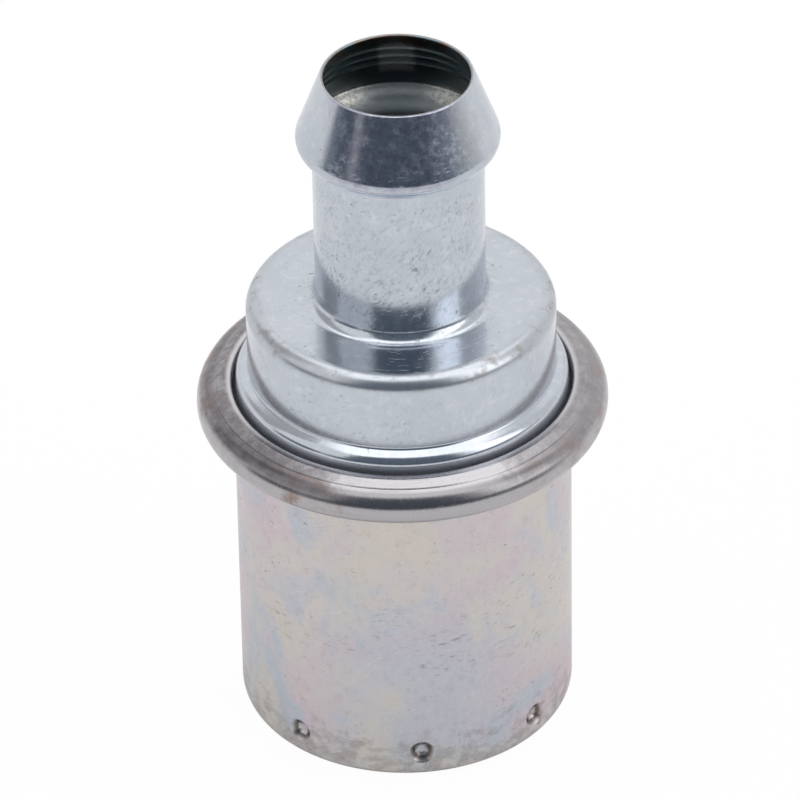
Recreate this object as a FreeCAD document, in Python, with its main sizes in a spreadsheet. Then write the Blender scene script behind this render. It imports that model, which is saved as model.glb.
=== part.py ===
# Crankcase ventilation valve (PCV valve): a drawn steel barrel that pushes into a rubber grommet, a drawn
# outlet cap with a barbed hose nipple, and between their crimped brims the metering plate. Inside, a sprung
# plunger with a tapered pin slides between the inlet seat and the plate. Millimetres, +Z towards the nipple,
# origin in the middle of the barrel's bottom.

import os
import math

import FreeCAD, Part
import Sketcher
from FreeCAD import Vector

os.makedirs("parts", exist_ok=True)

doc = FreeCAD.newDocument("PcvValve")

# Driving dimensions

sizes = {
    # barrel
    "barrel_radius": 9.75,
    "barrel_length": 19.64,
    "barrel_sheet": 0.6,
    "barrel_corner": 0.95,
    "inlet_radius": 4.4,
    # bead that the barrel's top edge is rolled into
    "bead_overhang": 2.13,
    "crown_drop": 0.17,
    "lip_inset": 0.12,
    "lip_rise": 0.29,
    # punched stakes round the barrel
    "stake_height": 1.95,
    "stake_width": 1.5,
    "stake_tip": 0.5,
    "stake_depth": 0.42,
    "stake_turn": 4.5,
    # outlet cap
    "cap_sheet": 0.6,
    "cap_depth": 7.2,
    "cap_corner": 0.55,
    "foot_gap": 0.17,
    "foot_height": 2.48,
    "foot_step": 0.8,
    "foot_round": 0.45,
    # hose nipple
    "tube_radius": 4.89,
    "tube_length": 9.89,
    "tube_root": 0.75,
    "barb_overhang": 1.12,
    "barb_length": 4.87,
    "barb_undercut": 0.52,
    "barb_round": 0.8,
    "rim_inset": 0.53,
    "rim_wall": 0.24,
    "ring_start": 0.75,
    "ring_pitch": 0.62,
    "ring_depth": 0.07,
    # metering plate
    "plate_sheet": 0.3,
    "orifice_radius": 3.0,
    "collar_height": 1.1,
    "collar_bend": 0.7,
    # inlet seat
    "seat_sheet": 0.9,
    "seat_bore": 3.7,
    "seat_bevel": 0.3,
    "seat_clearance": 0.4,
    # plunger
    "seat_gap": 0.05,
    "land_width": 1.4,
    "land_height": 1.2,
    "head_clearance": 0.1,
    "head_height": 2.3,
    "slot_wall": 1.45,
    "edge_break": 0.25,
    "hub_radius": 4.3,
    "stroke": 5.0,
    "stop_gap": 0.1,
    "stem_clearance": 0.3,
    "stem_height": 1.6,
    "pin_length": 5.11,
    "pin_tip": 1.7,
    # spring
    "spring_wire": 0.6,
    "spring_clearance": 0.6,
    "spring_gap": 0.04,
}

stake_count = 8
forming_rings = 3
flow_slots = 4
active_turns = 5
wire_sides = 8

# Heights and radii that follow from the sizes and that several pieces share

levels = {
    "floor_top": "barrel_sheet",
    "bore_radius": "barrel_radius - barrel_sheet",
    "flange_top": "barrel_length + barrel_sheet",
    "plate_top": "flange_top + plate_sheet",
    "brim_top": "plate_top + cap_sheet",
    "bead_top": "brim_top + barrel_sheet",
    "bead_radius": "barrel_radius + bead_overhang",
    "bead_round": "(bead_top - crown_drop - barrel_length) / 1.85 - 0.01",
    "brim_radius": "bead_radius - bead_round - 0.02",
    "lip_radius": "barrel_radius + lip_inset",
    "lip_bend": "lip_radius + (brim_radius - lip_radius) * 0.27",
    "lip_shoulder": "bead_top + 0.4 * lip_rise",
    "foot_radius": "lip_radius - foot_gap",
    "foot_top": "plate_top + foot_height",
    "cap_radius": "foot_radius - foot_step",
    "cap_top": "plate_top + cap_depth",
    "tube_bore": "tube_radius - cap_sheet",
    "barb_base": "cap_top + tube_length",
    "barb_radius": "tube_radius + barb_overhang",
    "barb_height": "barb_base + barb_undercut",
    "rim_radius": "tube_radius - rim_inset",
    "rim_height": "barb_base + barb_length",
    "seat_top": "floor_top + seat_sheet",
    "land_radius": "seat_bore + land_width",
    "land_bottom": "seat_top + seat_gap",
    "head_bottom": "land_bottom + land_height",
    "head_top": "head_bottom + head_height",
    "head_radius": "bore_radius - head_clearance",
    "hub_top": "flange_top - stop_gap - stroke",
    "stem_top": "hub_top + stem_height",
    "stem_radius": "orifice_radius - stem_clearance",
    "pin_top": "stem_top + pin_length",
    "coil_radius": "hub_radius + spring_clearance + spring_wire / 2",
    "coil_bottom": "head_top + spring_gap + spring_wire / 2",
    "coil_top": "flange_top - spring_gap - spring_wire / 2",
    "closed_pitch": "spring_wire + 0.04",
}

sheet = doc.addObject("Spreadsheet::Sheet", "Sizes")


def fill_sheet():
    """Sizes in column B, and the levels below them as formulas of the same sheet's names."""
    cells = [(name, str(number)) for name, number in sizes.items()]
    cells += [(name, "=" + formula) for name, formula in levels.items()]
    for row, (name, text) in enumerate(cells, start=1):
        sheet.set("A%d" % row, name)
        sheet.set("B%d" % row, text)
        sheet.setAlias("B%d" % row, name)
    doc.recompute()


fill_sheet()


def value(formula):
    """Number that a formula of the sheet's names gives now."""
    result = sheet.evalExpression(formula)
    return float(getattr(result, "Value", result))


def linked(formula):
    """The same formula as another object writes it, with the sheet's name before each of its names."""
    words = formula.replace("(", " ( ").replace(")", " ) ").split()
    return " ".join("Sizes." + word if word in sizes or word in levels else word for word in words)


# Sketches

def new_body(label):
    body = doc.addObject("PartDesign::Body", label)
    body.Label = label
    return body


def origin_part(body, role):
    return next(part for part in body.Origin.OriginFeatures if part.Role == role)


def new_sketch(body, name, role):
    sketch = body.newObject("Sketcher::SketchObject", name)
    sketch.AttachmentSupport = (origin_part(body, role), [""])
    sketch.MapMode = "FlatFace"
    sketch.Visibility = False
    return sketch


def bind(sketch, constraint, formula):
    index = sketch.addConstraint(constraint)
    sketch.setExpression("Constraints[%d]" % index, linked(formula))


def pin_point(sketch, held, corner):
    """Hold a point of the sketch at the corner's two formulas; where one is 0, the point is on that axis."""
    for direction, axis, formula in (("DistanceX", -2, corner[0]), ("DistanceY", -1, corner[1])):
        if formula == "0":
            sketch.addConstraint(Sketcher.Constraint("PointOnObject", held[0], held[1], axis))
        else:
            bind(sketch, Sketcher.Constraint(direction, -1, 1, held[0], held[1], value(formula)), formula)


def rounded_corner(last, point, following, radius):
    """Arc of the radius in the corner at point, with its start towards last and its end towards following."""
    to_last = (last - point).normalize()
    to_next = (following - point).normalize()
    half = to_last.getAngle(to_next) / 2
    start = point + to_last * (radius / math.tan(half))
    end = point + to_next * (radius / math.tan(half))
    centre = point + (to_last + to_next).normalize() * (radius / math.sin(half))
    middle = centre + (point - centre).normalize() * radius
    return start, end, Part.Arc(start, middle, end)


def outline(body, name, corners):
    """Closed outline in the XZ plane from corners (x, z) or (x, z, rounding), each a formula of the sheet."""
    sketch = new_sketch(body, name, "XZ_Plane")
    points = [Vector(value(corner[0]), value(corner[1]), 0) for corner in corners]
    count = len(points)
    arrive, leave, arcs = list(points), list(points), {}
    for i, corner in enumerate(corners):
        if len(corner) == 3:
            following = points[(i + 1) % count]
            arrive[i], leave[i], arcs[i] = rounded_corner(points[i - 1], points[i], following, value(corner[2]))
    for i in range(count):
        sketch.addGeometry(Part.LineSegment(leave[i], arrive[(i + 1) % count]), False)
    for i, corner in enumerate(corners):
        before = (i - 1) % count
        if i not in arcs:
            sketch.addConstraint(Sketcher.Constraint("Coincident", before, 2, i, 1))
            pin_point(sketch, (i, 1), corner)
            continue
        arc = sketch.addGeometry(arcs[i], False)
        mark = sketch.addGeometry(Part.Point(points[i]), True)
        runs_on = (sketch.getPoint(arc, 1) - arrive[i]).Length < 1e-6
        first, last = (1, 2) if runs_on else (2, 1)
        sketch.addConstraint(Sketcher.Constraint("Tangent", before, 2, arc, first))
        sketch.addConstraint(Sketcher.Constraint("Tangent", arc, last, i, 1))
        sketch.addConstraint(Sketcher.Constraint("PointOnObject", mark, 1, before))
        sketch.addConstraint(Sketcher.Constraint("PointOnObject", mark, 1, i))
        pin_point(sketch, (mark, 1), corner)
        bind(sketch, Sketcher.Constraint("Radius", arc, value(corner[2])), corner[2])
    return sketch


# Features

def turned(body, name, corners, axis="V_Axis", subtract=False):
    """Solid, or cut, of an outline turned once about an axis of its sketch."""
    profile = outline(body, name + "Outline", corners)
    feature = body.newObject("PartDesign::Groove" if subtract else "PartDesign::Revolution", name)
    feature.Profile = profile
    feature.ReferenceAxis = (profile, [axis])
    feature.Angle = 360
    doc.recompute()
    return feature


def round_the_axis(body, name, feature, count):
    pattern = body.newObject("PartDesign::PolarPattern", name)
    pattern.Originals = [feature]
    pattern.Axis = (origin_part(body, "Z_Axis"), [""])
    pattern.Angle = 360
    pattern.Occurrences = count
    body.Tip = pattern
    doc.recompute()


# Pieces

def make_barrel():
    """Drawn cup with an inlet hole, its top rolled out and back over the clamped brims, and punched stakes."""
    body = new_body("barrel")
    turned(body, "Cup", [
        ("inlet_radius", "0"),
        ("barrel_radius", "0", "barrel_corner"),
        ("barrel_radius", "barrel_length"),
        ("bead_radius", "barrel_length", "bead_round"),
        ("bead_radius", "bead_top - crown_drop", "bead_round"),
        ("lip_bend", "lip_shoulder"),
        ("lip_radius", "bead_top + lip_rise"),
        ("lip_radius", "brim_top + lip_rise"),
        ("lip_bend + barrel_sheet / 2", "brim_top"),
        ("bead_radius - barrel_sheet", "brim_top"),
        ("bead_radius - barrel_sheet", "flange_top"),
        ("bore_radius + barrel_sheet", "flange_top"),
        ("bore_radius", "barrel_length"),
        ("bore_radius", "floor_top"),
        ("inlet_radius", "floor_top"),
    ])
    # each stake is a cone punched into the wall, whose metal is pushed through as a bump on the inside
    bump = turned(body, "StakeBump", [
        ("barrel_radius - barrel_sheet / 2", "stake_height"),
        ("barrel_radius - barrel_sheet - stake_depth", "stake_height"),
        ("barrel_radius - barrel_sheet - stake_depth", "stake_height + stake_tip / 2 + barrel_sheet / 2"),
        ("barrel_radius - barrel_sheet / 2", "stake_height + stake_width / 2 + barrel_sheet / 2"),
    ], axis="Edge1")
    round_the_axis(body, "StakeBumps", bump, stake_count)
    dent = turned(body, "StakeDent", [
        ("barrel_radius + stake_depth", "stake_height"),
        ("barrel_radius - stake_depth", "stake_height"),
        ("barrel_radius - stake_depth", "stake_height + stake_tip / 2"),
        ("barrel_radius + stake_depth", "stake_height + stake_width - stake_tip / 2"),
    ], axis="Edge1", subtract=True)
    round_the_axis(body, "StakeDents", dent, stake_count)
    body.Placement = FreeCAD.Placement(Vector(), FreeCAD.Rotation(Vector(0, 0, 1), 1))
    body.setExpression("Placement.Rotation.Angle", "Sizes.stake_turn")
    return body


def forming_grooves():
    """Corners of the shallow rings that the forming tool leaves inside the barb's cone, from the rim down."""
    depth_below_rim = "(ring_start + %.2f * ring_pitch)"
    slope = "(barb_overhang - 1.15 * cap_sheet + rim_inset + rim_wall)"
    slope += " / (rim_height - barb_height - 0.75 * cap_sheet)"
    corners = []
    for ring in range(forming_rings):
        for step, depth in ((0.0, 0), (0.3, 1), (0.6, 0)):
            below = depth_below_rim % (ring + step)
            wall = "rim_radius - rim_wall + %s * %s + %d * ring_depth" % (below, slope, depth)
            corners.append((wall, "rim_height - " + below))
    return corners


def make_outlet_cap():
    """Drawn cap: clamped brim, foot, shoulder, then the hose nipple with its hollow formed barb."""
    body = new_body("outlet_cap")
    outside = [
        ("brim_radius", "plate_top"),
        ("brim_radius", "brim_top"),
        ("foot_radius", "brim_top"),
        ("foot_radius", "foot_top", "foot_round"),
        ("cap_radius", "foot_top"),
        ("cap_radius", "cap_top", "cap_corner"),
        ("tube_radius", "cap_top", "tube_root"),
        ("tube_radius", "barb_base"),
        ("barb_radius", "barb_height", "barb_round"),
        ("rim_radius", "rim_height"),
        ("rim_radius - rim_wall", "rim_height"),
    ]
    inside = [
        ("barb_radius - 1.15 * cap_sheet", "barb_height + 0.75 * cap_sheet"),
        ("tube_bore", "barb_base + 0.6 * cap_sheet"),
        ("tube_bore", "cap_top - cap_sheet", "tube_root + cap_sheet"),
        ("cap_radius - cap_sheet", "cap_top - cap_sheet"),
        ("cap_radius - cap_sheet", "foot_top - cap_sheet"),
        ("foot_radius - cap_sheet", "foot_top - cap_sheet"),
        ("foot_radius - cap_sheet", "plate_top"),
    ]
    turned(body, "Drawn", outside + forming_grooves() + inside)
    return body


def make_orifice_plate():
    """Metering plate: a washer clamped under the cap's brim, its orifice drawn up into a collar."""
    body = new_body("orifice_plate")
    turned(body, "Washer", [
        ("orifice_radius + plate_sheet", "plate_top + collar_bend - plate_sheet"),
        ("orifice_radius + collar_bend", "plate_top"),
        ("brim_radius", "plate_top"),
        ("brim_radius", "flange_top"),
        ("orifice_radius + collar_bend", "flange_top"),
        ("orifice_radius", "flange_top + collar_bend"),
        ("orifice_radius", "plate_top + collar_height"),
        ("orifice_radius + plate_sheet", "plate_top + collar_height"),
    ])
    return body


def make_inlet_seat():
    """Turned washer on the barrel's floor, held down by the stakes; the plunger closes its bore."""
    body = new_body("inlet_seat")
    turned(body, "Washer", [
        ("seat_bore + seat_bevel", "floor_top"),
        ("bore_radius - seat_clearance", "floor_top"),
        ("bore_radius - seat_clearance", "seat_top - seat_bevel"),
        ("bore_radius - seat_clearance - seat_bevel", "seat_top"),
        ("seat_bore", "seat_top"),
        ("seat_bore", "floor_top + seat_bevel"),
    ])
    return body


def make_plunger():
    """Turned plunger: seat land, slotted guide head, hub whose shoulder ends the stroke, stem and metering pin."""
    body = new_body("plunger")
    turned(body, "Turned", [
        ("0", "land_bottom"),
        ("land_radius - edge_break", "land_bottom"),
        ("land_radius", "land_bottom + edge_break"),
        ("land_radius", "head_bottom"),
        ("head_radius - edge_break", "head_bottom"),
        ("head_radius", "head_bottom + edge_break"),
        ("head_radius", "head_top - edge_break"),
        ("head_radius - edge_break", "head_top"),
        ("hub_radius", "head_top"),
        ("hub_radius", "hub_top - edge_break"),
        ("hub_radius - edge_break", "hub_top"),
        ("stem_radius", "hub_top"),
        ("stem_radius", "stem_top"),
        ("pin_tip", "pin_top - edge_break"),
        ("pin_tip - edge_break", "pin_top"),
        ("0", "pin_top"),
    ])
    slot = new_sketch(body, "FlowSlotOutline", "XY_Plane")
    slot_radius = "head_radius - land_radius - slot_wall"
    slot.addGeometry(Part.Circle(Vector(value("head_radius"), 0, 0), Vector(0, 0, 1), value(slot_radius)), False)
    pin_point(slot, (0, 3), ("head_radius", "0"))
    bind(slot, Sketcher.Constraint("Radius", 0, value(slot_radius)), slot_radius)
    cut = body.newObject("PartDesign::Pocket", "FlowSlot")
    cut.Profile = slot
    cut.Type = "ThroughAll"
    cut.Reversed = True
    doc.recompute()
    round_the_axis(body, "FlowSlots", cut, flow_slots)
    return body


def wire_section(body, name, height):
    """Regular polygon that stands for the round wire's section, one flat-topped ring of equal sides."""
    sketch = new_sketch(body, name, "XZ_Plane")
    corner_radius = value("spring_wire") / 2
    centre = Vector(value("coil_radius"), value(height), 0)
    angles = [2 * math.pi * (side + 0.5) / wire_sides for side in range(wire_sides)]
    corners = [centre + Vector(math.cos(a), math.sin(a), 0) * corner_radius for a in angles]
    guide = sketch.addGeometry(Part.Circle(centre, Vector(0, 0, 1), corner_radius), True)
    pin_point(sketch, (guide, 3), ("coil_radius", height))
    bind(sketch, Sketcher.Constraint("Radius", guide, corner_radius), "spring_wire / 2")
    for side in range(wire_sides):
        sketch.addGeometry(Part.LineSegment(corners[side], corners[(side + 1) % wire_sides]), False)
    for side in range(wire_sides):
        line, following = guide + 1 + side, guide + 1 + (side + 1) % wire_sides
        sketch.addConstraint(Sketcher.Constraint("Coincident", line, 2, following, 1))
        sketch.addConstraint(Sketcher.Constraint("PointOnObject", line, 1, guide))
        if side:
            sketch.addConstraint(Sketcher.Constraint("Equal", guide + 1, line))
    sketch.addConstraint(Sketcher.Constraint("Vertical", guide + wire_sides))
    return sketch


def make_plunger_spring():
    """Compression spring with a closed turn at each end, from the plunger's head to the metering plate."""
    body = new_body("plunger_spring")
    free_rise = "(coil_top - coil_bottom - 2 * closed_pitch)"
    runs = (
        ("ClosedBottom", "coil_bottom", "closed_pitch", "closed_pitch"),
        ("Coils", "coil_bottom + closed_pitch", free_rise + " / %d" % active_turns, free_rise),
        ("ClosedTop", "coil_top - closed_pitch", "closed_pitch", "closed_pitch"),
    )
    for name, start, pitch, rise in runs:
        wire = wire_section(body, name + "Wire", start)
        coil = body.newObject("PartDesign::AdditiveHelix", name)
        coil.Profile = wire
        coil.ReferenceAxis = (wire, ["V_Axis"])
        coil.Mode = "pitch-height-angle"
        coil.setExpression("Pitch", linked(pitch))
        coil.setExpression("Height", linked(rise))
        doc.recompute()
    return body


pieces = [
    make_barrel(),
    make_outlet_cap(),
    make_orifice_plate(),
    make_inlet_seat(),
    make_plunger(),
    make_plunger_spring(),
]
doc.recompute()

for obj in doc.Objects:
    if "Invalid" in obj.State or "Error" in obj.State:
        raise RuntimeError("%s did not rebuild" % obj.Label)
for piece in pieces:
    if piece.Shape.isNull() or not piece.Shape.isValid() or len(piece.Shape.Solids) != 1:
        raise RuntimeError("%s is not one valid solid" % piece.Label)
    piece.Shape.Solids[0].exportStep("parts/%s.step" % piece.Label)
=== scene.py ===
import math

import bmesh
import bpy
from mathutils import Matrix, Vector


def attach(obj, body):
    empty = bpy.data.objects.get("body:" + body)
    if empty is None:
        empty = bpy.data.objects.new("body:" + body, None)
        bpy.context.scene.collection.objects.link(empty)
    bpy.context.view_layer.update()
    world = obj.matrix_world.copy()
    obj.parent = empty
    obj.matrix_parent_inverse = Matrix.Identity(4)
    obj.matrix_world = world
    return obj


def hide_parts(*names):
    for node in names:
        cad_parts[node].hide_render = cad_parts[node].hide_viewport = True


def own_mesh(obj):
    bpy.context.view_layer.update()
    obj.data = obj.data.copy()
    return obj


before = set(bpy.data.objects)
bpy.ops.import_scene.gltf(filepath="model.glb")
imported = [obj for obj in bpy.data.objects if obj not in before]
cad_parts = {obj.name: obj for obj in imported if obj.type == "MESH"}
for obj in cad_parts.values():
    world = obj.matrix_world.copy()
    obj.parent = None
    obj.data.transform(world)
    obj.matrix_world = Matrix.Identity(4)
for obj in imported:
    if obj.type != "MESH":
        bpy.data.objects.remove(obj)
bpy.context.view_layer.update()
mm = 0.001


# Node trees, for shaders and for geometry

class Wire:
    # an output of a node; arithmetic on it adds Math nodes

    def __init__(self, graph, socket):
        self.graph = graph
        self.socket = socket

    def out(self, name):
        return Wire(self.graph, self.socket.node.outputs[name])

    def math(self, operation, *values):
        inputs = dict(enumerate((self, *values)))
        return self.graph.node("ShaderNodeMath", {"operation": operation}, inputs)

    def reflected(self, operation, value):
        return self.graph.node("ShaderNodeMath", {"operation": operation}, {0: value, 1: self})

    def __add__(self, value):
        return self.math("ADD", value)

    def __sub__(self, value):
        return self.math("SUBTRACT", value)

    def __mul__(self, value):
        return self.math("MULTIPLY", value)

    def __truediv__(self, value):
        return self.math("DIVIDE", value)

    def __pow__(self, value):
        return self.math("POWER", value)

    def __gt__(self, value):
        return self.math("GREATER_THAN", value)

    def __lt__(self, value):
        return self.math("LESS_THAN", value)

    def __radd__(self, value):
        return self.reflected("ADD", value)

    def __rsub__(self, value):
        return self.reflected("SUBTRACT", value)

    def __rmul__(self, value):
        return self.reflected("MULTIPLY", value)

    def __rtruediv__(self, value):
        return self.reflected("DIVIDE", value)

    def __abs__(self):
        return self.math("ABSOLUTE")

    # smooth rise from 0 to 1 while the value goes from low to high; a low above high makes it fall
    def rise(self, low, high):
        if low > high:
            return 1 - self.rise(high, low)
        inputs = {0: self, 1: low, 2: high, 3: 0.0, 4: 1.0}
        return self.graph.node("ShaderNodeMapRange", {"interpolation_type": "SMOOTHSTEP"}, inputs)

    # 1 between low and high, with soft ends
    def within(self, low, high, soft):
        return self.rise(low - soft, low + soft) * self.rise(high + soft, high - soft)


class Graph:
    def __init__(self, tree):
        self.tree = tree

    def node(self, kind, settings=None, inputs=None, output=0):
        made = self.tree.nodes.new(kind)
        for name, setting in (settings or {}).items():
            setattr(made, name, setting)
        for key, value in (inputs or {}).items():
            if isinstance(value, Wire):
                self.tree.links.new(value.socket, made.inputs[key])
            else:
                made.inputs[key].default_value = value
        return Wire(self, made.outputs[output])

    def end(self, kind, key, wire):
        last = self.tree.nodes.new(kind)
        self.tree.links.new(wire.socket, last.inputs[key])

    def vector(self, x=0.0, y=0.0, z=0.0):
        return self.node("ShaderNodeCombineXYZ", {}, {0: x, 1: y, 2: z})

    def split(self, vector):
        xyz = self.node("ShaderNodeSeparateXYZ", {}, {0: vector})
        return xyz, xyz.out("Y"), xyz.out("Z")

    def stretch(self, vector, x=1.0, y=1.0, z=1.0):
        return self.node("ShaderNodeVectorMath", {"operation": "MULTIPLY"}, {0: vector, 1: (x, y, z)})

    def shift(self, vector, x=0.0, y=0.0, z=0.0):
        return self.node("ShaderNodeVectorMath", {"operation": "ADD"}, {0: vector, 1: (x, y, z)})

    def tint(self, factor, base, over):
        return self.node("ShaderNodeMix", {"data_type": "RGBA"}, {0: factor, 6: base, 7: over}, output=2)

    def noise(self, vector, scale, detail=2.0, rough=0.5, bend=0.0):
        inputs = {"Vector": vector, "Scale": scale, "Detail": detail, "Roughness": rough, "Distortion": bend}
        return self.node("ShaderNodeTexNoise", {}, inputs)

    # position on the piece in millimetres, whole and split, and its distance from the axis
    def place(self):
        metres = self.node("ShaderNodeTexCoord", output="Object")
        place = self.stretch(metres, 1000, 1000, 1000)
        x, y, z = self.split(place)
        radius = (x * x + y * y) ** 0.5
        return place, x, y, z, radius


def paint(red, green, blue):
    # a colour as an eyedropper reads it, 0 to 255, made linear
    def linear(level):
        level /= 255
        return level / 12.92 if level <= 0.04045 else ((level + 0.055) / 1.055) ** 2.4
    return (linear(red), linear(green), linear(blue), 1.0)


def newMaterial(name):
    material = bpy.data.materials.new(name)
    material.use_nodes = True
    material.node_tree.nodes.clear()
    return material, Graph(material.node_tree)


def metal(graph, colour, rough, height, relief):
    # metal surface with its relief in millimetres
    bumped = graph.node("ShaderNodeBump", {}, {"Height": height, "Distance": relief * mm, "Strength": 1.0})
    inputs = {"Base Color": colour, "Roughness": rough, "Metallic": 1.0, "Normal": bumped}
    graph.end("ShaderNodeOutputMaterial", "Surface", graph.node("ShaderNodeBsdfPrincipled", {}, inputs))


# Camera, fitted to the photograph's outline

view = {
    "distance": 425.0,
    "elevation": 35.264,
    "roll": -1.04,
    "aimHeight": 20.0,
    "aimLeft": 0.150,
    "aimUp": 0.162,
    "lens": 330.9,
    "sensor": 36.0,
}


def makeCamera():
    data = bpy.data.cameras.new("camera")
    data.lens = view["lens"]
    data.sensor_width = view["sensor"]
    data.clip_start = 0.01
    camera = bpy.data.objects.new("camera", data)
    bpy.context.collection.objects.link(camera)
    up = math.radians(view["elevation"])
    back = Vector((0, -math.cos(up), math.sin(up)))
    level = back.to_track_quat("Z", "Y").to_matrix()
    aim = Vector((0, 0, view["aimHeight"])) + level @ Vector((-view["aimLeft"], view["aimUp"], 0))
    camera.location = (aim + back * view["distance"]) * mm
    camera.rotation_euler = (level @ Matrix.Rotation(math.radians(view["roll"]), 3, "Z")).to_euler()
    bpy.context.scene.camera = camera


makeCamera()
bpy.context.scene.view_settings.view_transform = "Standard"


# Studio: white sweep, soft boxes at both sides, a lamp overhead, dark room behind the camera

studio = {
    "floorRadius": 260.0,
    "floorSink": 0.02,        # below the part's flat bottom
    "floorPaint": (238, 238, 238),
    "floorWhite": 0.97,       # share of plain white that the camera sees in the floor
    "floorMirrored": 0.35,    # the same share in the metal's reflections
    "shadowFade": (25.0, 80.0),
    "backdrop": 1.0,
    "darkRoom": 0.14,
    "darkAbove": 1.3,         # times the dark room's light, above table height
    "roomTint": (0.79, 0.95, 1.16, 1.0),
    "leftBox": 0.95,
    "leftSide": 0.5,
    "rightBox": 2.0,
    "rightSide": 0.78,
    "ceiling": 0.3,
    "topBox": 1.7,
    "horizon": 0.9,
    "leftHaze": 0.18,
    "poleLight": 0.34,
}

# where each part of the room fades in, in degrees round from the camera's side, positive to the right
turns = {
    "sweepLeft": (-84, -94),
    "sweepRight": (38, 125),
    "haze": (-60, -100),
    "pole": (-56, -47, 3),
    "leftBox": (-36, -42),
    "leftSide": (-90, -98),
    "backdropLeft": (-122, -136),
    "rightBox": (32, 58),
    "rightSide": (80, 90),
    "backdropRight": (118, 132),
}


def makeStudio():
    world = bpy.data.worlds.new("studio")
    world.use_nodes = True
    world.node_tree.nodes.clear()
    graph = Graph(world.node_tree)
    toward = graph.node("ShaderNodeTexCoord", output="Generated")
    x, y, z = graph.split(toward)
    turn = x.math("ARCTAN2", y * -1) * (180 / math.pi)
    dark = studio["darkRoom"]
    above = dark * studio["darkAbove"]
    # at table height: the dark room in front, a pole in it at the left, the white sweep beside and behind
    sweep = turn.rise(*turns["sweepRight"]).math("MAXIMUM", turn.rise(*turns["sweepLeft"]))
    low = dark + sweep * (studio["horizon"] - dark)
    low = low + turn.rise(*turns["haze"]) * (1 - sweep) * studio["leftHaze"]
    low = low + turn.within(*turns["pole"]) * studio["poleLight"]
    # higher: soft boxes left and right of the camera
    middle = above + turn.rise(*turns["leftBox"]) * (studio["leftBox"] - above)
    middle = middle - turn.rise(*turns["leftSide"]) * (studio["leftBox"] - studio["leftSide"])
    middle = middle + turn.rise(*turns["backdropLeft"]) * (studio["backdrop"] - studio["leftSide"])
    middle = middle + turn.rise(*turns["rightBox"]) * (studio["rightBox"] - above)
    middle = middle - turn.rise(*turns["rightSide"]) * (studio["rightBox"] - studio["rightSide"])
    middle = middle + turn.rise(*turns["backdropRight"]) * (studio["backdrop"] - studio["rightSide"])
    # overhead: a dim ceiling in front, and the lamp from before the zenith to behind it
    ceiling = abs(x).rise(0.6, 0.4) * y.rise(-0.36, -0.44) * z.rise(0.75, 0.88)
    middle = middle + ceiling * (studio["ceiling"] - middle)
    light = middle + z.rise(0.27, 0.13) * (low - middle)
    lamp = y.rise(-0.43, -0.34) * y.rise(0.54, 0.44) * x.rise(-0.5, -0.34) * x.rise(0.58, 0.42)
    lamp = lamp * z.rise(0.3, 0.5)
    light = light + lamp * (studio["topBox"] - light)
    seen = graph.node("ShaderNodeLightPath", output="Is Camera Ray")
    light = light + seen * (1 - light)
    shade = light.rise(0.5, 0.2)
    colour = graph.tint(shade, (1, 1, 1, 1), studio["roomTint"])
    sky = graph.node("ShaderNodeBackground", {}, {"Color": colour, "Strength": light})
    graph.end("ShaderNodeOutputWorld", "Surface", sky)
    bpy.context.scene.world = world


def makeFloor():
    mesh = bpy.data.meshes.new("floor")
    form = bmesh.new()
    bmesh.ops.create_circle(form, cap_ends=True, radius=studio["floorRadius"] * mm, segments=96)
    form.to_mesh(mesh)
    form.free()
    floor = bpy.data.objects.new("floor", mesh)
    bpy.context.collection.objects.link(floor)
    floor.location.z = -studio["floorSink"] * mm
    material, graph = newMaterial("paleFloor")
    place, x, y, z, radius = graph.place()
    far = radius.rise(*studio["shadowFade"])
    seen = graph.node("ShaderNodeLightPath", output="Is Camera Ray")
    mirrored = seen.out("Is Glossy Ray").math("MAXIMUM", seen.out("Is Transmission Ray"))
    share = seen * (studio["floorWhite"] + far * (1 - studio["floorWhite"]))
    share = share + mirrored * studio["floorMirrored"]
    matt = graph.node("ShaderNodeBsdfDiffuse", {}, {"Color": paint(*studio["floorPaint"])})
    white = graph.node("ShaderNodeEmission", {}, {"Color": (1, 1, 1, 1), "Strength": 1.0})
    graph.end("ShaderNodeOutputMaterial", "Surface",
              graph.node("ShaderNodeMixShader", {}, {0: share, 1: matt, 2: white}))
    mesh.materials.append(material)


makeStudio()
makeFloor()
print("studio and camera are set up")


# Turned and drawn forms

def roundedProfile(corners, step=7.5, margin=0.05):
    # closed line (radius, height) through the corners, each rounded by its third number, if it has one
    points = []
    count = len(corners)
    for i, corner in enumerate(corners):
        here = Vector(corner[:2])
        toLast = Vector(corners[i - 1][:2]) - here
        toNext = Vector(corners[(i + 1) % count][:2]) - here
        if len(corner) < 3:
            points.append(here)
            continue
        room = min(toLast.length, toNext.length)
        toLast.normalize()
        toNext.normalize()
        half = toLast.angle(toNext) / 2
        reach = corner[2] / math.tan(half)
        centre = here + (toLast + toNext).normalized() * (corner[2] / math.sin(half))
        start = here + toLast * reach - centre
        turn = math.pi - 2 * half
        side = math.copysign(1.0, start.cross(here + toNext * reach - centre))
        pieces = max(2, math.ceil(math.degrees(turn) / step))
        loop = min(margin, (room - reach) / 3)
        if loop > 0.01:
            points.append(here + toLast * (reach + loop))
        for n in range(pieces + 1):
            angle = side * turn * n / pieces
            swing = Matrix.Rotation(angle, 2)
            points.append(centre + swing @ start)
        if loop > 0.01:
            points.append(here + toNext * (reach + loop))
    return points


def evenAngles(count):
    return [2 * math.pi * n / count for n in range(count)]


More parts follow.
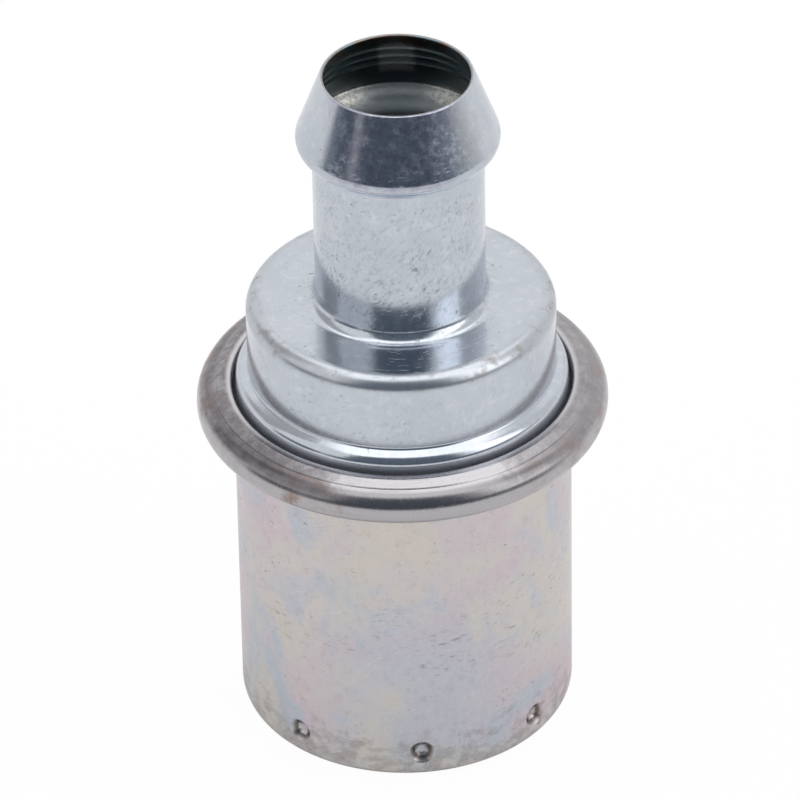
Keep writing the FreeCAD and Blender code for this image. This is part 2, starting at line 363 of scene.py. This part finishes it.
def lathe(name, corners, angles, sharp=32.0):
    # ring-shaped mesh: the closed profile carried round the axis
    profile = roundedProfile(corners)
    rows, columns = len(profile), len(angles)
    vertices = [
        (point.x * mm * math.cos(angle), point.x * mm * math.sin(angle), point.y * mm)
        for point in profile
        for angle in angles
    ]
    faces = []
    for row in range(rows):
        above = (row + 1) % rows
        for column in range(columns):
            beside = (column + 1) % columns
            faces.append((
                row * columns + column, row * columns + beside,
                above * columns + beside, above * columns + column,
            ))
    mesh = bpy.data.meshes.new(name)
    mesh.from_pydata(vertices, [], faces)
    form = bmesh.new()
    form.from_mesh(mesh)
    bmesh.ops.recalc_face_normals(form, faces=form.faces)
    form.to_mesh(mesh)
    form.free()
    mesh.polygons.foreach_set("use_smooth", [True] * len(mesh.polygons))
    mesh.set_sharp_from_angle(angle=math.radians(sharp))
    return mesh


def addPiece(name, mesh, body, node):
    piece = bpy.data.objects.new(name, mesh)
    bpy.context.collection.objects.link(piece)
    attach(piece, body)
    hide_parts(node)
    return piece


# Geometry trees

def newTree(name, sizes):
    tree = bpy.data.node_groups.new(name, "GeometryNodeTree")
    for label, kind in sizes:
        tree.interface.new_socket(label, in_out="INPUT", socket_type=kind)
    tree.interface.new_socket("Geometry", in_out="OUTPUT", socket_type="NodeSocketGeometry")
    graph = Graph(tree)
    graph.given = graph.node("NodeGroupInput")
    return graph


def grow(graph, mesh, values):
    # the tree's result on a mesh, as a plain mesh
    carrier = bpy.data.objects.new(graph.tree.name, mesh)
    bpy.context.collection.objects.link(carrier)
    modifier = carrier.modifiers.new("tree", "NODES")
    modifier.node_group = graph.tree
    for item in graph.tree.interface.items_tree:
        if item.in_out == "INPUT" and item.name in values:
            modifier[item.identifier] = values[item.name]
    bpy.context.view_layer.update()
    depsgraph = bpy.context.evaluated_depsgraph_get()
    grown = bpy.data.meshes.new_from_object(
        carrier.evaluated_get(depsgraph), preserve_all_data_layers=True, depsgraph=depsgraph)
    carrier.modifiers.remove(modifier)
    bpy.data.objects.remove(carrier)
    return grown


# Finishes

def ringStreaks(graph, x, y, z, radius, fine, long, detail=3.0):
    # noise drawn out round the axis, with no seam
    vector = graph.vector(x / radius * long, y / radius * long, z * fine)
    inputs = {"Vector": vector, "W": radius * fine, "Scale": 1.0, "Detail": detail, "Roughness": 0.6}
    return graph.node("ShaderNodeTexNoise", {"noise_dimensions": "4D"}, inputs)


def scratches(graph, place, turn, amount=0.7):
    # sparse thin lines that all lean one way
    inputs = {"Vector": place, "Rotation": (turn, turn * 0.4, 0.6)}
    leaning = graph.node("ShaderNodeVectorRotate", {"rotation_type": "EULER_XYZ"}, inputs)
    line = graph.noise(graph.stretch(leaning, 0.22, 6.0, 6.0), 1.0, 2.0, 0.5)
    return line.rise(amount, amount + 0.04)


plate = {
    "paint": (206, 200, 199),
    "cream": (210, 202, 192),
    "rose": (206, 191, 197),
    "blue": (189, 194, 204),
    "stainAndShade": (120, 114, 112),
    "milk": (212, 208, 209),
    "scratch": (218, 215, 216),
    "stakeShade": (92, 80, 72),
    "roughness": 0.3,
}


def barrelPlate():
    # satin plated wall of the barrel, with faint rainbow patches, specks and rubbing
    material, graph = newMaterial("barrelPlate")
    place, x, y, z, radius = graph.place()
    cloud = graph.noise(place, 0.16, 3.0, 0.55, 0.6)
    other = graph.noise(graph.shift(place, 31, 7, 5), 0.21, 3.0, 0.55, 0.8)
    grain = graph.noise(place, 3.2, 4.0, 0.65)
    colour = graph.tint(cloud.rise(0.42, 0.64), paint(*plate["paint"]), paint(*plate["rose"]))
    bluer = other.rise(0.46, 0.68).math("MAXIMUM", z.rise(15.0, 8.0) * x.within(-3.6, 5.6, 3.0) * 0.75)
    colour = graph.tint(bluer, colour, paint(*plate["blue"]))
    colour = graph.tint(cloud.rise(0.5, 0.34) * 0.8, colour, paint(*plate["cream"]))
    speck = graph.noise(graph.stretch(place, 1.0, 1.0, 1.8), 3.2, 3.0, 0.6).rise(0.62, 0.7)
    patch = graph.noise(graph.shift(place, 11, 3, 9), 0.45, 2.0, 0.5).rise(0.47, 0.62)
    colour = graph.tint(speck * patch * 0.6, colour, paint(*plate["stainAndShade"]))
    mist = graph.noise(place, 1.4, 5.0, 0.7)
    colour = graph.tint(mist.rise(0.5, 0.75) * 0.14, colour, paint(*plate["stainAndShade"]))
    fleck = ringStreaks(graph, x, y, z, radius, 6.0, 14.0, 3.0).rise(0.58, 0.68)
    belt = z.within(7.0, 13.0, 1.5) * graph.noise(place, 0.35, 2.0).rise(0.44, 0.6)
    colour = graph.tint(fleck * belt * 0.5, colour, paint(*plate["stainAndShade"]))
    # blotchy grime towards the floor, partly painted shade; the dark band round the foot is painted contact
    # shade
    grimeAndShade = graph.noise(graph.stretch(place, 1.0, 1.0, 1.6), 0.8, 4.0, 0.6) + z.rise(5.0, 0.5) * 0.2
    dirtAndContactShade = (grimeAndShade.rise(0.56, 0.78) * z.rise(6.0, 2.0) * 0.42).math("MAXIMUM", z.rise(0.75, 0.15) * 0.6)
    colour = graph.tint(dirtAndContactShade, colour, paint(*plate["stainAndShade"]))
    milky = graph.noise(graph.shift(place, 4, 4, 1), 1.9, 6.0, 0.76)
    colour = graph.tint(milky.rise(0.42, 0.68) * 0.3, colour, paint(*plate["milk"]))
    colour = graph.tint(milky.rise(0.46, 0.3) * 0.16, colour, paint(*plate["stainAndShade"]))
    rub = scratches(graph, place, 0.5, 0.67).math("MAXIMUM", scratches(graph, place, 1.9, 0.67))
    colour = graph.tint(rub * 0.6, colour, paint(*plate["scratch"]))
    # painted shade: the stake dimples are painted dark brown, darkest where they are sunk deepest
    stake = graph.node("ShaderNodeAttribute", {"attribute_name": "stake"}, output="Fac")
    colour = graph.tint(stake.rise(0.1, 0.55) * 0.85, colour, paint(*plate["stakeShade"]))
    scuff = graph.noise(graph.stretch(place, 2.2, 2.2, 0.35), 1.0, 4.0, 0.7)
    rough = plate["roughness"] + (grain - 0.5) * 0.16 + cloud * 0.06 + speck * patch * 0.15 + rub * 0.12
    metal(graph, colour, rough, grain * 0.6 + scuff * 0.9 - speck * patch * 0.5 - rub * 0.6, 0.006)
    return material


bead = {
    "paint": (160, 157, 161),
    "shade": (124, 120, 124),
    "brown": (138, 115, 105),
    "dark": (96, 92, 95),
    "lipEdge": (216, 212, 214),
    "worn": (180, 177, 180),
    "wornFrom": -0.36,        # across the front, as a share of the radius
    "wornTo": 0.56,
    "roughness": 0.19,
}


def beadSteel():
    # rolled edge: streaked round by the closing die, brownish in places, with painted shade and painted
    # highlights that round its crown
    material, graph = newMaterial("beadSteel")
    place, x, y, z, radius = graph.place()
    streak = ringStreaks(graph, x, y, z, radius, 4.0, 2.6)
    fineStreak = ringStreaks(graph, x, y, z, radius, 16.0, 4.0)
    cloud = graph.noise(place, 0.22, 3.0, 0.6, 0.5)
    tarnish = graph.noise(graph.shift(place, 6, 1, 3), 1.3, 6.0, 0.74)
    colour = graph.tint(tarnish.rise(0.34, 0.64), paint(*bead["paint"]), paint(*bead["shade"]))
    # darkest at the front left, between the worn front and the side
    left = (x / radius).within(-0.86, -0.42, 0.14) * y.rise(0.0, -2.0) * radius.rise(10.35, 10.7)
    colour = graph.tint(left * 0.3, colour, paint(*bead["dark"]))
    colour = graph.tint(streak.rise(0.45, 0.7) * 0.35, colour, paint(*bead["shade"]))
    # painted shading that rounds the flat crown: a painted shade band across its middle, and a painted
    # highlight on the outer edge
    crownShadeBand = radius.within(10.95, 11.4, 0.14) * z.rise(21.0, 21.3) * (0.5 + streak * 0.6)
    colour = graph.tint(crownShadeBand * 0.6, colour, paint(*bead["dark"]))
    colour = graph.tint(radius.rise(11.6, 11.82) * 0.5, colour, paint(*bead["lipEdge"]))
    brown = graph.noise(graph.shift(place, 5, 17, 2), 0.9, 5.0, 0.7).rise(0.4, 0.62) * cloud.rise(0.42, 0.56)
    colour = graph.tint(brown * radius.rise(10.8, 11.3) * 0.8, colour, paint(*bead["brown"]))
    # painted highlight along the lip's inner edge
    colour = graph.tint(radius.rise(10.3, 10.0) * 0.85, colour, paint(*bead["lipEdge"]))
    # the front is worn bright, with a ragged edge to the tarnish
    blotch = graph.noise(graph.shift(place, 2, 4, 8), 1.2, 4.0, 0.65)
    worn = (x / radius + (blotch - 0.5) * 0.35).within(bead["wornFrom"], bead["wornTo"], 0.1)
    worn = worn * y.rise(0.0, -2.0)
    worn = worn.math("MAXIMUM", x.rise(4.0, 8.0) * 0.4) * (1 - streak.rise(0.52, 0.7) * 0.35)
    colour = graph.tint(worn, colour, paint(*bead["worn"]))
    # painted shade where the crown's front turns down
    below = radius.rise(11.1, 11.3) * z.rise(20.85, 21.05) * y.rise(-7.0, -9.5)
    colour = graph.tint(below * 0.45, colour, paint(*bead["dark"]))
    dust = graph.noise(place, 4.0, 5.0, 0.75)
    gap = z.within(21.2, 21.9, 0.05) * radius.rise(9.91, 9.85)
    rough = bead["roughness"] + (fineStreak - 0.5) * 0.16 + dust.rise(0.5, 0.8) * 0.18
    rough = rough + tarnish * 0.06 + gap * 0.4
    metal(graph, colour, rough, streak * 0.15 + fineStreak * 0.18 + dust, 0.006)
    return material


zinc = {
    "paint": (199, 204, 212),
    "shade": (189, 195, 204),
    "pit": (74, 80, 88),
    "scuff": (104, 110, 118),
    "bloom": (220, 224, 229),
    "tarnish": (132, 128, 152),
    "wear": (150, 144, 138),
    "roughness": 0.15,
    "barbFrom": 38.2,
    "insidePaint": (134, 140, 142),
    "funnelHighlight": (240, 238, 232),
    "insideSpeck": (128, 129, 128),
    "ringPaint": (132, 148, 154),
    "glintPaint": (222, 226, 228),
    "boreHighlight": (228, 234, 236),
    "deepShade": (100, 116, 122),
    "insideRoughness": 0.34,
    "rust": (148, 118, 96),
}


def capZinc():
    # bright bluish zinc plating with handling marks
    material, graph = newMaterial("capZinc")
    place, x, y, z, radius = graph.place()
    cloud = graph.noise(place, 0.3, 4.0, 0.6, 0.5)
    grain = graph.noise(place, 4.5, 4.0, 0.65)
    colour = graph.tint(cloud.rise(0.38, 0.62) * 0.6, paint(*zinc["paint"]), paint(*zinc["shade"]))
    # pitting, thickest on the lower half of the tube
    tube = z.within(27.9, 34.5, 1.5) * radius.rise(6.2, 5.4)
    slanted = graph.node("ShaderNodeVectorRotate", {"rotation_type": "EULER_XYZ"},
                         {"Vector": place, "Rotation": (0.5, 0.7, 0.4)})
    pitSpot = graph.noise(graph.stretch(slanted, 1.0, 2.2, 1.4), 2.0, 4.0, 0.68) + tube * 0.05
    pitCloud = graph.noise(graph.shift(place, 3, 8, 1), 0.5, 3.0, 0.6).rise(0.46, 0.6)
    pits = pitSpot.rise(0.6, 0.72) * pitCloud.math("MAXIMUM", tube * 0.35)
    colour = graph.tint(pits * 0.55, colour, paint(*zinc["pit"]))
    # fine grey scuffs over the tube, and a few over the cap's wall
    scuff = graph.noise(graph.stretch(slanted, 0.8, 2.6, 1.5), 2.6, 5.0, 0.75).rise(0.5, 0.64)
    tubeWall = z.within(27.9, 37.0, 1.0) * radius.rise(6.2, 5.4)
    capWall = z.within(23.5, 26.6, 0.4) * radius.rise(7.0, 8.0)
    scuff = scuff * (tubeWall + capWall * 0.4) * (pitCloud * 0.5 + 0.5)
    colour = graph.tint(scuff * 0.42, colour, paint(*zinc["scuff"]))
    # white plating bloom in small clouds
    bloom = graph.noise(graph.shift(place, 12, 5, 3), 1.4, 6.0, 0.72).rise(0.5, 0.66)
    colour = graph.tint(bloom * 0.35, colour, paint(*zinc["bloom"]))
    wear = graph.noise(graph.shift(place, 9, 2, 4), 1.1, 4.0, 0.65).rise(0.5, 0.66)
    wear = wear * radius.rise(7.9, 8.4) * z.rise(26.8, 27.3)
    colour = graph.tint(wear * 0.6, colour, paint(*zinc["wear"]))
    barb = z.rise(zinc["barbFrom"], zinc["barbFrom"] + 0.5)
    mottle = graph.noise(graph.shift(place, 2, 1, 6), 2.6, 6.0, 0.7).rise(0.36, 0.74)
    mottle = mottle * (graph.noise(graph.shift(place, 7, 3, 2), 0.7, 3.0, 0.6).rise(0.36, 0.66) + 0.35) * barb
    # bluish tint in fine clouds, kept to the barb's front: partly tarnish, partly a painted reflection of the
    # dark room in front
    tarnish = graph.noise(graph.shift(place, 8, 6, 1), 1.9, 6.0, 0.74).rise(0.34, 0.6) * 0.75 + 0.25
    tarnish = tarnish * barb * y.rise(-0.8, -2.6) * x.within(-3.5, 2.9, 0.9)
    colour = graph.tint(tarnish * 0.6, colour, paint(*zinc["tarnish"]))
    streak = ringStreaks(graph, x, y, z, radius, 14.0, 2.2)
    turned = ringStreaks(graph, x, y, z, radius, 11.0, 7.0, 1.0).rise(0.66, 0.7) * z.rise(27.5, 27.7)
    turned = turned * radius.rise(5.4, 5.8)
    rough = zinc["roughness"] + (grain - 0.5) * 0.1 + streak.rise(0.5, 0.8) * 0.06 + pits * 0.2
    corner = radius.rise(7.9, 8.2) * z.rise(26.7, 27.1)
    colour = graph.tint(corner * 0.12, colour, paint(*zinc["wear"]))
    gap = z.rise(22.4, 22.15)
    rough = rough + mottle * 0.2 + turned * 0.35 + wear * 0.12 + corner * 0.14 + scuff * 0.12 + gap * 0.35
    relief = grain * 0.4 + streak * 0.35 - pits + mottle * 0.25 - turned * 0.8
    metal(graph, colour, rough, relief, 0.004)
    return material


def nippleInside():
    # duller inside of the nipple, speckled where the forming tool didn't reach
    material, graph = newMaterial("nippleInside")
    place, x, y, z, radius = graph.place()
    funnel = z.rise(39.0, 38.6)
    speckle = graph.noise(place, 4.0, 5.0, 0.75)
    # painted highlights: the funnel is painted brightest at both sides, and speckled
    aside = abs(x).rise(1.2, 3.4) * x.rise(6.5, 2.0)
    colour = graph.tint(aside, paint(*zinc["insidePaint"]), paint(*zinc["funnelHighlight"]))
    colour = graph.tint(speckle.rise(0.42, 0.6) * 0.6, colour, paint(*zinc["insideSpeck"]))
    # painted reflection: a lighter patch on the rings at the back, standing in for a reflection of the far
    # wall
    rearGlint = x.within(-1.0, 1.0, 0.2) * y.rise(1.0, 3.0) * z.within(39.6, 41.9, 0.2)
    rings = graph.tint(rearGlint, paint(*zinc["ringPaint"]), paint(*zinc["glintPaint"]))
    colour = graph.tint(1 - funnel, colour, rings)
    # painted light in the bore: its entry painted lighter than the plating as a painted highlight, and deeper
    # down painted darker as painted shade
    colour = graph.tint(z.rise(38.1, 37.7), colour, paint(*zinc["boreHighlight"]))
    colour = graph.tint(z.rise(37.0, 36.7), colour, paint(*zinc["deepShade"]))
    rusty = graph.noise(place, 1.3, 4.0, 0.65).rise(0.4, 0.58) * z.rise(41.3, 42.1)
    colour = graph.tint(rusty * 0.75, colour, paint(*zinc["rust"]))
    rough = zinc["insideRoughness"] + funnel * 0.1 + (speckle - 0.5) * 0.2
    metal(graph, colour, rough, speckle * (0.3 + funnel * 1.2), 0.01)
    return material


def steelFinish(name, steel):
    # bare steel with the tool's fine rings
    material, graph = newMaterial(name)
    place, x, y, z, radius = graph.place()
    rings = ringStreaks(graph, x, y, z, radius, steel["rings"], 0.8)
    cloud = graph.noise(place, 0.5, 4.0, 0.6)
    colour = graph.tint(cloud.rise(0.4, 0.65), paint(*steel["paint"]), paint(*steel["shade"]))
    metal(graph, colour, steel["roughness"] + (rings - 0.5) * 0.2, rings, 0.004)
    return material


def springWire():
    # drawn wire, oiled, with fine drawing lines
    material, graph = newMaterial("springWire")
    place, x, y, z, radius = graph.place()
    lines = ringStreaks(graph, x, y, z, radius, 30.0, 3.0)
    cloud = graph.noise(place, 0.8, 3.0, 0.6)
    colour = graph.tint(cloud, paint(*spring["paint"]), paint(*spring["shade"]))
    metal(graph, colour, spring["roughness"] + (lines - 0.5) * 0.2, lines, 0.003)
    return material


# Barrel

barrel = {
    "radius": 9.75,
    "sheet": 0.6,
    "corner": 0.95,
    "inlet": 4.4,
    "beadUnder": 19.64,
    "beadTop": 21.74,
    "beadRadius": 11.88,
    "beadFoot": 0.9,
    "beadRound": 1.1,
    "lipRadius": 9.84,
    "lipEdge": 0.18,
    "lipTop": 22.03,
    "lipBend": 10.38,
    "crownFall": 24.0,        # degrees that the bead's top slopes outwards
    "groove": 10.95,
    "grooveSide": 0.05,
    "grooveDepth": 0.02,
    "bandFoot": 1.02,         # rows of points where the stakes are pressed in
    "bandStep": 0.07,
    "bandRows": 28,
    "insideTop": 2.91,
    "insideStep": 0.1,
    "insideRows": 14,
    "nearStake": 5.6,         # degrees to both sides of a stake with close columns
    "nearStep": 0.35,
    "farColumns": 28,
    "stakes": 8,
    "stakeHeight": 1.95,
    "stakeWidth": 1.5,
    "stakeTip": 0.5,
    "stakeDepth": 0.42,
    "stakeTurn": 4.5,
}


def stakeAngles():
    # close columns beside each stake, wider ones between them
    sector = 360.0 / barrel["stakes"]
    edge = barrel["nearStake"]
    near = [-edge + barrel["nearStep"] * n for n in range(round(2 * edge / barrel["nearStep"]) + 1)]
    gap = sector - 2 * edge
    far = [edge + gap * n / barrel["farColumns"] for n in range(1, barrel["farColumns"])]
    return [
        math.radians(barrel["stakeTurn"] + sector * stake + angle)
        for stake in range(barrel["stakes"])
        for angle in near + far
    ]


def barrelCorners():
    outer, inner = barrel["radius"], barrel["radius"] - barrel["sheet"]
    band = [(outer, barrel["bandFoot"] + barrel["bandStep"] * n) for n in range(barrel["bandRows"])]
    insideBand = [
        (inner, barrel["insideTop"] - barrel["insideStep"] * n)
        for n in range(barrel["insideRows"])
    ]
    brimTop = barrel["beadTop"] - barrel["sheet"]
    flange = barrel["beadUnder"] + barrel["sheet"]
    lipDrop = barrel["lipTop"] - barrel["beadTop"]
    fall = math.tan(math.radians(barrel["crownFall"]))
    groove, side = barrel["groove"], barrel["grooveSide"]

    def crown(radius):
        return barrel["lipTop"] - (radius - barrel["lipBend"]) * fall

    return [
        (barrel["inlet"], 0.0, 0.1),
        (outer, 0.0, barrel["corner"]),
        *band,
        (outer, barrel["beadUnder"], 0.3),
        (barrel["beadRadius"], barrel["beadUnder"], barrel["beadFoot"]),
        (barrel["beadRadius"], crown(barrel["beadRadius"]), barrel["beadRound"]),
        (groove + side, crown(groove + side), 0.03),
        (groove, crown(groove) - barrel["grooveDepth"]),
        (groove - side, crown(groove - side), 0.03),
        (barrel["lipBend"], barrel["lipTop"], 0.12),
        (barrel["lipRadius"], barrel["lipTop"], barrel["lipEdge"]),
        (barrel["lipRadius"], brimTop + lipDrop, 0.09),
        (barrel["lipBend"] + barrel["sheet"] / 2, brimTop),
        (barrel["beadRadius"] - barrel["sheet"], brimTop),
        (barrel["beadRadius"] - barrel["sheet"], flange),
        (inner + barrel["sheet"], flange),
        (inner, barrel["beadUnder"]),
        *insideBand,
        (inner, barrel["sheet"], 0.35),
        (barrel["inlet"], barrel["sheet"], 0.1),
    ]


def stakeTree():
    # punches the wall in at even steps round it, and finishes wall and bead apart
    graph = newTree("stakedBarrel", [
        ("Cup", "NodeSocketGeometry"),
        ("Count", "NodeSocketInt"),
        ("Height", "NodeSocketFloat"),
        ("Width", "NodeSocketFloat"),
        ("Tip", "NodeSocketFloat"),
        ("Depth", "NodeSocketFloat"),
        ("Turn", "NodeSocketFloat"),
        ("Wall Radius", "NodeSocketFloat"),
        ("Sheet", "NodeSocketFloat"),
        ("Bead Height", "NodeSocketFloat"),
        ("Wall Finish", "NodeSocketMaterial"),
        ("Bead Finish", "NodeSocketMaterial"),
    ])
    given = graph.given
    size = given.out
    x, y, z = graph.split(graph.node("GeometryNodeInputPosition"))
    radius = (x * x + y * y) ** 0.5
    sector = 2 * math.pi / size("Count")
    angle = y.math("ARCTAN2", x) - size("Turn")
    aside = (angle - (angle / sector).math("ROUND") * sector) * size("Wall Radius")
    above = z - size("Height")
    apart = (aside * aside + above * above) ** 0.5
    inside = radius < size("Wall Radius") - size("Sheet") * 0.5
    reach = (size("Width") + inside * size("Sheet")) / 2
    flat = (size("Tip") + inside * size("Sheet")) / 2
    sunk = ((reach - apart) / (reach - flat)).math("MAXIMUM", 0.0).math("MINIMUM", 1.0) ** 0.85
    sunk = sunk * (radius > size("Wall Radius") - size("Sheet") * 1.5)
    push = sunk * size("Depth") / radius * -1
    moved = graph.node("GeometryNodeSetPosition", {}, {
        "Geometry": given.out("Cup"),
        "Offset": graph.vector(x * push, y * push, 0.0),
    })
    marked = graph.node("GeometryNodeStoreNamedAttribute", {"data_type": "FLOAT", "domain": "POINT"}, {
        "Geometry": moved, "Name": "stake", "Value": sunk * (1 - inside)})
    real = graph.node("GeometryNodeRealizeInstances", {}, {"Geometry": marked})
    plain = graph.node("GeometryNodeSetMaterial", {}, {"Geometry": real, "Material": size("Wall Finish")})
    rolled = (z > size("Bead Height")) * (radius > size("Wall Radius") - size("Sheet") * 0.2)
    graph.end("NodeGroupOutput", "Geometry", graph.node("GeometryNodeSetMaterial", {}, {
        "Geometry": plain, "Selection": rolled, "Material": size("Bead Finish")}))
    return graph


def makeBarrel():
    cup = lathe("barrelCup", barrelCorners(), stakeAngles())
    staked = grow(stakeTree(), cup, {
        "Count": barrel["stakes"],
        "Height": barrel["stakeHeight"] * mm,
        "Width": barrel["stakeWidth"] * mm,
        "Tip": barrel["stakeTip"] * mm,
        "Depth": barrel["stakeDepth"] * mm,
        "Turn": math.radians(barrel["stakeTurn"]),
        "Wall Radius": barrel["radius"] * mm,
        "Sheet": barrel["sheet"] * mm,
        "Bead Height": (barrel["beadUnder"] - 0.15) * mm,
        "Wall Finish": barrelPlate(),
        "Bead Finish": beadSteel(),
    })
    addPiece("stakedBarrel", staked, "housing", "barrel")


makeBarrel()
print("barrel is turned and staked")


# Outlet cap with its hose nipple

cap = {
    "sheet": 0.6,
    "brimRadius": 10.83,
    "brimUnder": 20.54,
    "brimRoot": 0.5,
    "footRadius": 9.6,
    "footTop": 23.06,
    "footFall": 0.4,          # from the ledge's inner edge to its outer one
    "footRound": 0.68,
    "footRoot": 0.18,
    "radius": 8.9,
    "top": 27.74,
    "cornerRound": 0.9,
    "tubeRadius": 4.89,
    "tubeRoot": 0.75,
    "barbBase": 37.63,
    "barbRoot": 0.55,
    "barbRadius": 6.01,
    "barbHeight": 38.15,
    "barbRound": 0.8,
    "rimRadius": 4.36,
    "rimWall": 0.24,
    "rimHeight": 42.5,
    "rings": 3,
    "ringStart": 0.75,
    "ringPitch": 0.62,
    "ringDepth": 0.07,
    "throatRound": 1.6,
    "barbWall": 1.15,         # in sheet thicknesses, inwards at the barb
    "barbSole": 0.75,         # in sheet thicknesses, upwards at the barb
    "throatRise": 0.6,        # in sheet thicknesses, above the barb's base
    "columns": 336,           # faces round the axis
}


def formingRings():
    # shallow rings that the forming tool leaves in the barb's cone
    innerBarb = cap["barbRadius"] - cap["barbWall"] * cap["sheet"]
    innerRim = cap["rimRadius"] - cap["rimWall"]
    foot = cap["barbHeight"] + cap["barbSole"] * cap["sheet"]
    slope = (innerBarb - innerRim) / (cap["rimHeight"] - foot)
    corners = []
    for ring in range(cap["rings"]):
        for step, depth in ((0.0, 0.0), (0.3, 1.0), (0.6, 0.0)):
            below = cap["ringStart"] + (ring + step) * cap["ringPitch"]
            wall = innerRim + below * slope + depth * cap["ringDepth"]
            corners.append((wall, cap["rimHeight"] - below, 0.06))
    return corners


def capCorners():
    sheet = cap["sheet"]
    brimTop = cap["brimUnder"] + sheet
    tubeBore = cap["tubeRadius"] - sheet
    return [
        (cap["brimRadius"], cap["brimUnder"], 0.1),
        (cap["brimRadius"], brimTop, 0.1),
        (cap["footRadius"], brimTop, cap["brimRoot"]),
        (cap["footRadius"], cap["footTop"] - cap["footFall"], cap["footRound"]),
        (cap["radius"], cap["footTop"], cap["footRoot"]),
        (cap["radius"], cap["top"], cap["cornerRound"]),
        (cap["tubeRadius"], cap["top"], cap["tubeRoot"]),
        (cap["tubeRadius"], cap["barbBase"], cap["barbRoot"]),
        (cap["barbRadius"], cap["barbHeight"], cap["barbRound"]),
        (cap["rimRadius"], cap["rimHeight"], 0.08),
        (cap["rimRadius"] - cap["rimWall"], cap["rimHeight"], 0.08),
        *formingRings(),
        (cap["barbRadius"] - cap["barbWall"] * sheet, cap["barbHeight"] + cap["barbSole"] * sheet, 0.12),
        (tubeBore, cap["barbBase"] + cap["throatRise"] * sheet, cap["throatRound"]),
        (tubeBore, cap["top"] - sheet, cap["tubeRoot"] + sheet),
        (cap["radius"] - sheet, cap["top"] - sheet, 0.3),
        (cap["radius"] - sheet, cap["footTop"] - sheet),
        (cap["footRadius"] - sheet, cap["footTop"] - cap["footFall"] - sheet),
        (cap["footRadius"] - sheet, cap["brimUnder"]),
    ]


def makeCap():
    mesh = lathe("drawnCap", capCorners(), evenAngles(cap["columns"]))
    mesh.materials.append(capZinc())
    mesh.materials.append(nippleInside())
    for face in mesh.polygons:
        outward = face.normal.x * face.center.x + face.normal.y * face.center.y
        if outward < 0 and face.center.z > cap["top"] * mm:
            face.material_index = 1
    addPiece("drawnCap", mesh, "housing", "outlet_cap")


makeCap()
print("outlet cap is drawn")


# Plunger spring

spring = {
    "wire": 0.6,
    "coilRadius": 5.2,
    "bottom": 5.09,
    "top": 20.2,
    "closedPitch": 0.64,
    "freeTurns": 5,
    "sides": 14,
    "steps": 44,              # points in a turn
    "stroke": 5.0,
    "paint": (128, 126, 124),
    "shade": (92, 90, 90),
    "roughness": 0.3,
}


def springTree():
    # wire swept along a coil whose first and last turns are closed
    graph = newTree("coiledSpring", [
        ("Radius", "NodeSocketFloat"),
        ("Bottom", "NodeSocketFloat"),
        ("Top", "NodeSocketFloat"),
        ("Closed Pitch", "NodeSocketFloat"),
        ("Free Turns", "NodeSocketFloat"),
        ("Wire", "NodeSocketFloat"),
        ("Points", "NodeSocketInt"),
        ("Sides", "NodeSocketInt"),
        ("Finish", "NodeSocketMaterial"),
    ])
    size = graph.given.out
    straight = graph.node("GeometryNodeCurvePrimitiveLine", {"mode": "POINTS"})
    path = graph.node("GeometryNodeResampleCurve", {}, {"Curve": straight, "Count": size("Points")})
    turns = graph.node("GeometryNodeSplineParameter") * (size("Free Turns") + 2)
    low = turns.math("MINIMUM", 1.0)
    high = (turns - size("Free Turns") - 1).math("MAXIMUM", 0.0)
    rise = size("Top") - size("Bottom") - size("Wire") - 2 * size("Closed Pitch")
    height = size("Bottom") + size("Wire") / 2 + (low + high) * size("Closed Pitch")
    height = height + (turns - low - high) / size("Free Turns") * rise
    angle = turns * (2 * math.pi)
    coil = graph.vector(angle.math("COSINE") * size("Radius"), angle.math("SINE") * size("Radius"), height)
    bent = graph.node("GeometryNodeSetPosition", {}, {"Geometry": path, "Position": coil})
    section = graph.node("GeometryNodeCurvePrimitiveCircle", {"mode": "RADIUS"}, {
        "Resolution": size("Sides"), "Radius": size("Wire") / 2})
    swept = graph.node("GeometryNodeCurveToMesh", {}, {
        "Curve": bent, "Profile Curve": section, "Fill Caps": True})
    smooth = graph.node("GeometryNodeSetShadeSmooth", {}, {"Geometry": swept})
    real = graph.node("GeometryNodeRealizeInstances", {}, {"Geometry": smooth})
    graph.end("NodeGroupOutput", "Geometry", graph.node("GeometryNodeSetMaterial", {}, {
        "Geometry": real, "Material": size("Finish")}))
    return graph


def makeSpring():
    turns = spring["freeTurns"] + 2
    mesh = grow(springTree(), bpy.data.meshes.new("springStart"), {
        "Radius": spring["coilRadius"] * mm,
        "Bottom": spring["bottom"] * mm,
        "Top": spring["top"] * mm,
        "Closed Pitch": spring["closedPitch"] * mm,
        "Free Turns": float(spring["freeTurns"]),
        "Wire": spring["wire"] * mm,
        "Points": turns * spring["steps"] + 1,
        "Sides": spring["sides"],
        "Finish": springWire(),
    })
    mesh.set_sharp_from_angle(angle=math.radians(50))
    piece = addPiece("coiledSpring", mesh, "housing", "plunger_spring")
    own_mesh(piece)


makeSpring()
print("spring is coiled")


# CAD nodes that are shown as they are

washerSteel = {"paint": (168, 170, 172), "shade": (142, 143, 146), "roughness": 0.3, "rings": 9.0}
seatSteel = {"paint": (164, 163, 160), "shade": (138, 136, 132), "roughness": 0.28, "rings": 16.0}
plungerSteel = {"paint": (176, 174, 170), "shade": (150, 147, 142), "roughness": 0.22, "rings": 18.0}


def dress(node, material):
    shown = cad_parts[node].data
    shown.materials.clear()
    shown.materials.append(material)


dress("orifice_plate", steelFinish("washerSteel", washerSteel))
dress("inlet_seat", steelFinish("seatSteel", seatSteel))
dress("plunger", steelFinish("plungerSteel", plungerSteel))
print("inner pieces are dressed")
